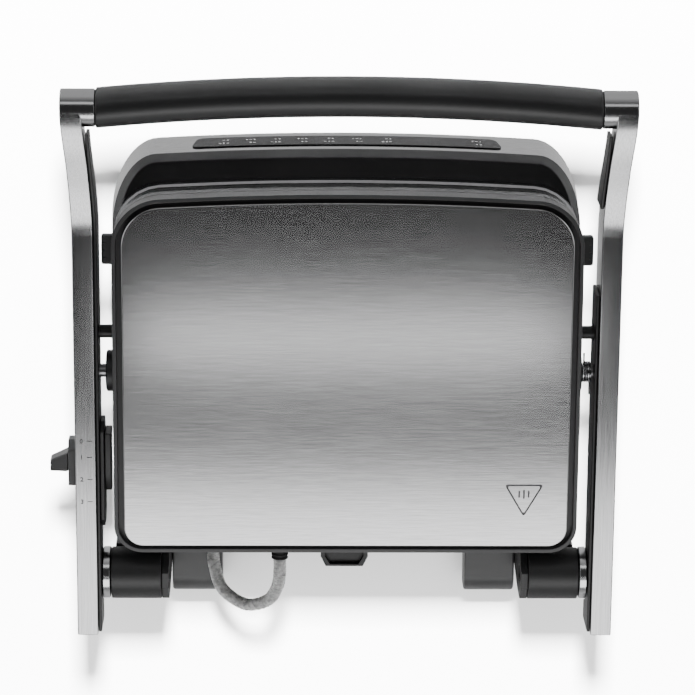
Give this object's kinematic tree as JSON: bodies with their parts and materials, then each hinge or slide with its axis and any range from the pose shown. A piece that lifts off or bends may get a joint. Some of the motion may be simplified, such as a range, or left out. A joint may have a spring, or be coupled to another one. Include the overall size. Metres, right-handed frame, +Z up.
{
  "type": "panini press",
  "caption": "Contact grill with a brushed steel lid that tilts in hinged side arms, a bowed front handle, ribbed plates and a height slider.",
  "frame": {"origin": "centre of the overall footprint, on the counter that the feet stand on", "axes": "+Z up, -Y towards the handle and the user, +X towards the side of the height slider"},
  "size_m": [0.3876, 0.3908, 0.1253],
  "materials": {
    "lid_cover": "brushed side to side",
    "fascia": "brushed side to side",
    "arms": "brushed lengthwise",
    "chrome": "satin chrome",
    "steel_parts": "bare",
    "grip": "satin, dark charcoal",
    "black_plastic": "fine spark texture",
    "control_panel": "gloss, touch panel",
    "grey_plastic": "satin moulded",
    "plates": "die cast, non-stick coated",
    "heater": "heat-blued tube",
    "rubber": "matt",
    "braid": "grey glass-fibre braid",
    "board": "green circuit board"
  },
  "bodies": {
    "base": {"base_housing": "black_plastic", "base_deck": "black_plastic", "front_fascia": "fascia", "control_panel": "control_panel", "control_board": "board", "lower_plate": "plates", "lower_heater": "heater", "heat_tray": "steel_parts", "bottom_plate": "steel_parts", "foot_front_left": "rubber", "foot_front_right": "rubber", "foot_rear_left": "rubber", "foot_rear_right": "rubber", "hinge_barrel_left": "black_plastic", "hinge_barrel_right": "black_plastic", "hinge_ear_left": "black_plastic", "hinge_ear_right": "black_plastic", "rear_stand_left": "grey_plastic", "rear_stand_right": "grey_plastic", "mains_gland": "rubber", "base_relief": "rubber", "conduit_base": "braid", "conduit_bend": "braid"},
    "arms": {"arm_left": "arms", "arm_right": "arms", "arm_liner_left": "black_plastic", "arm_liner_front_left": "black_plastic", "arm_liner_right": "black_plastic", "hinge_collar_left": "chrome", "hinge_collar_right": "chrome", "hinge_shaft_left": "steel_parts", "hinge_shaft_right": "steel_parts", "pivot_pin_left": "steel_parts", "pivot_pin_right": "steel_parts", "torsion_spring": "steel_parts", "latch_housing": "black_plastic", "handle_grip": "grip", "handle_rod": "steel_parts"},
    "lid": {"lid_shell": "grey_plastic", "lid_cover": "lid_cover", "upper_plate": "plates", "lid_heater": "heater", "pivot_boss_left": "black_plastic", "pivot_boss_right": "black_plastic", "stop_peg_left": "black_plastic", "stop_peg_right": "black_plastic", "lid_relief": "rubber", "conduit_lid": "braid"},
    "slider": {"slider_plate": "grey_plastic", "slider_knob": "grey_plastic", "latch_cam": "black_plastic"},
    "button_left": {"release_button_left": "black_plastic"},
    "button_right": {"release_button_right": "black_plastic"}
  },
  "joints": [
    {"name": "arm_hinge", "type": "hinge", "parent": "base", "child": "arms", "pos_m": [-0.0063, 0.15688, 0.08], "axis": [-1, 0, 0], "range_deg": [0, 105], "deforming": ["conduit_bend"]},
    {"name": "lid_tilt", "type": "hinge", "parent": "arms", "child": "lid", "pos_m": [-0.0063, 0.01138, 0.084], "axis": [1, 0, 0], "range_deg": [-1.5, 1.5], "stiffness_Nm_per_rad": 60, "deforming": ["conduit_lid", "torsion_spring"]},
    {"name": "height_slide", "type": "slide", "parent": "arms", "child": "slider", "axis": [0, 1, 0], "range_m": [-0.011, 0.031]},
    {"name": "button_left_push", "type": "slide", "parent": "lid", "child": "button_left", "axis": [1, 0, 0], "range_m": [0, 0.0025], "stiffness_N_per_m": 800},
    {"name": "button_right_push", "type": "slide", "parent": "lid", "child": "button_right", "axis": [-1, 0, 0], "range_m": [0, 0.0025], "stiffness_N_per_m": 800}
  ]
}
